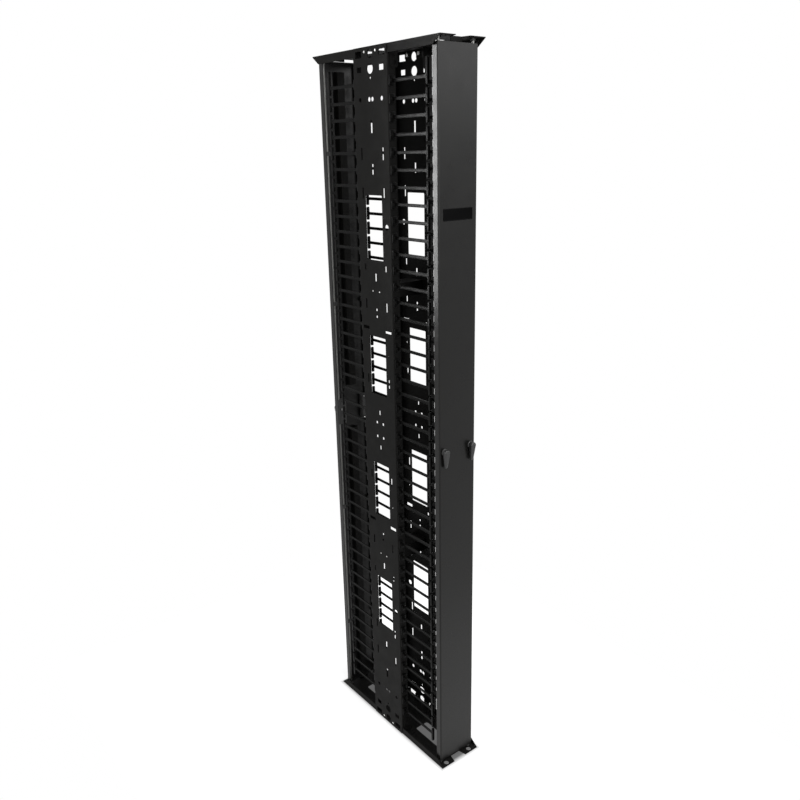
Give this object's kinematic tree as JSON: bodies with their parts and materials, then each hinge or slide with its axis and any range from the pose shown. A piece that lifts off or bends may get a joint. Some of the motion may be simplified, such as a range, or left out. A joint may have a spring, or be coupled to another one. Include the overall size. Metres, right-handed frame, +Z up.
{
  "type": "vertical cable manager",
  "caption": "Tall double-sided vertical cable manager with T-shaped cable fingers and a dual-latch door front and rear.",
  "frame": {"origin": "middle of the footprint, on the floor", "axes": "+Z up, -Y the front door, +X to the right of someone who faces the front door"},
  "size_m": [0.1524, 0.5588, 2.1336],
  "materials": {
    "powder_coat": "satin",
    "finger_plastic": "matte",
    "lever_plastic": "matte",
    "nylon": "matte",
    "zinc_plate": "zinc plated",
    "gear_steel": "machined",
    "badge_gloss": "gloss"
  },
  "bodies": {
    "root": {"base_pan": "powder_coat", "top_pan": "powder_coat", "left_side_plate": "powder_coat", "right_side_plate": "powder_coat", "cross_braces": "powder_coat", "brace_rivets": "zinc_plate", "pan_bolts": "zinc_plate", "flange_brackets": "powder_coat", "front_left_fingers": "finger_plastic", "front_right_fingers": "finger_plastic", "rear_left_fingers": "finger_plastic", "rear_right_fingers": "finger_plastic", "front_keepers": "nylon", "rear_keepers": "nylon"},
    "front_door": {"front_door": "powder_coat", "front_door_stiffeners": "powder_coat", "front_door_badge": "badge_gloss", "front_rod_guides": "nylon", "front_latch_bases": "lever_plastic", "front_gear_cases": "nylon"},
    "rear_door": {"rear_door": "powder_coat", "rear_door_stiffeners": "powder_coat", "rear_rod_guides": "nylon", "rear_latch_bases": "lever_plastic", "rear_gear_cases": "nylon"},
    "front_left_lever": {"front_left_lever": "lever_plastic", "front_left_pinion": "gear_steel"},
    "front_left_upper_rod": {"front_left_upper_rod": "zinc_plate"},
    "front_left_lower_rod": {"front_left_lower_rod": "zinc_plate"},
    "front_right_lever": {"front_right_lever": "lever_plastic", "front_right_pinion": "gear_steel"},
    "front_right_upper_rod": {"front_right_upper_rod": "zinc_plate"},
    "front_right_lower_rod": {"front_right_lower_rod": "zinc_plate"},
    "rear_left_lever": {"rear_left_lever": "lever_plastic", "rear_left_pinion": "gear_steel"},
    "rear_left_upper_rod": {"rear_left_upper_rod": "zinc_plate"},
    "rear_left_lower_rod": {"rear_left_lower_rod": "zinc_plate"},
    "rear_right_lever": {"rear_right_lever": "lever_plastic", "rear_right_pinion": "gear_steel"},
    "rear_right_upper_rod": {"rear_right_upper_rod": "zinc_plate"},
    "rear_right_lower_rod": {"rear_right_lower_rod": "zinc_plate"}
  },
  "joints": [
    {"name": "front_door_hinge", "type": "hinge", "parent": "root", "child": "front_door", "pos_m": [0.057, -0.252, 0], "axis": [0, 0, 1], "range_deg": [0, 105]},
    {"name": "front_left_lever_turn", "type": "hinge", "parent": "front_door", "child": "front_left_lever", "pos_m": [-0.049, -0.262, 1.0668], "axis": [0, -1, 0], "range_deg": [0, 90], "stiffness_Nm_per_rad": 0.3, "springref_deg": -17.19},
    {"name": "front_left_upper_rod_slide", "type": "slide", "parent": "front_door", "child": "front_left_upper_rod", "axis": [0, 0, -1], "range_m": [0, 0.01256]},
    {"name": "front_left_lower_rod_slide", "type": "slide", "parent": "front_door", "child": "front_left_lower_rod", "axis": [0, 0, 1], "range_m": [0, 0.013]},
    {"name": "front_right_lever_turn", "type": "hinge", "parent": "front_door", "child": "front_right_lever", "pos_m": [0.049, -0.262, 1.0668], "axis": [0, 1, 0], "range_deg": [0, 90], "stiffness_Nm_per_rad": 0.3, "springref_deg": -17.19},
    {"name": "front_right_upper_rod_slide", "type": "slide", "parent": "front_door", "child": "front_right_upper_rod", "axis": [0, 0, -1], "range_m": [0, 0.01256]},
    {"name": "front_right_lower_rod_slide", "type": "slide", "parent": "front_door", "child": "front_right_lower_rod", "axis": [0, 0, 1], "range_m": [0, 0.013]},
    {"name": "rear_door_hinge", "type": "hinge", "parent": "root", "child": "rear_door", "pos_m": [-0.057, 0.252, 0], "axis": [0, 0, 1], "range_deg": [0, 105]},
    {"name": "rear_left_lever_turn", "type": "hinge", "parent": "rear_door", "child": "rear_left_lever", "pos_m": [-0.049, 0.262, 1.0668], "axis": [0, -1, 0], "range_deg": [0, 90], "stiffness_Nm_per_rad": 0.3, "springref_deg": -17.19},
    {"name": "rear_left_upper_rod_slide", "type": "slide", "parent": "rear_door", "child": "rear_left_upper_rod", "axis": [0, 0, -1], "range_m": [0, 0.01256]},
    {"name": "rear_left_lower_rod_slide", "type": "slide", "parent": "rear_door", "child": "rear_left_lower_rod", "axis": [0, 0, 1], "range_m": [0, 0.013]},
    {"name": "rear_right_lever_turn", "type": "hinge", "parent": "rear_door", "child": "rear_right_lever", "pos_m": [0.049, 0.262, 1.0668], "axis": [0, 1, 0], "range_deg": [0, 90], "stiffness_Nm_per_rad": 0.3, "springref_deg": -17.19},
    {"name": "rear_right_upper_rod_slide", "type": "slide", "parent": "rear_door", "child": "rear_right_upper_rod", "axis": [0, 0, -1], "range_m": [0, 0.01256]},
    {"name": "rear_right_lower_rod_slide", "type": "slide", "parent": "rear_door", "child": "rear_right_lower_rod", "axis": [0, 0, 1], "range_m": [0, 0.013]}
  ],
  "couplings": [
    {"joint": "front_left_lever_turn", "follows": "front_left_upper_rod_slide", "rad_per_m": 125},
    {"joint": "front_left_lower_rod_slide", "follows": "front_left_upper_rod_slide", "ratio": 1},
    {"joint": "front_right_lever_turn", "follows": "front_right_upper_rod_slide", "rad_per_m": 125},
    {"joint": "front_right_lower_rod_slide", "follows": "front_right_upper_rod_slide", "ratio": 1},
    {"joint": "rear_left_lever_turn", "follows": "rear_left_upper_rod_slide", "rad_per_m": 125},
    {"joint": "rear_left_lower_rod_slide", "follows": "rear_left_upper_rod_slide", "ratio": 1},
    {"joint": "rear_right_lever_turn", "follows": "rear_right_upper_rod_slide", "rad_per_m": 125},
    {"joint": "rear_right_lower_rod_slide", "follows": "rear_right_upper_rod_slide", "ratio": 1}
  ]
}
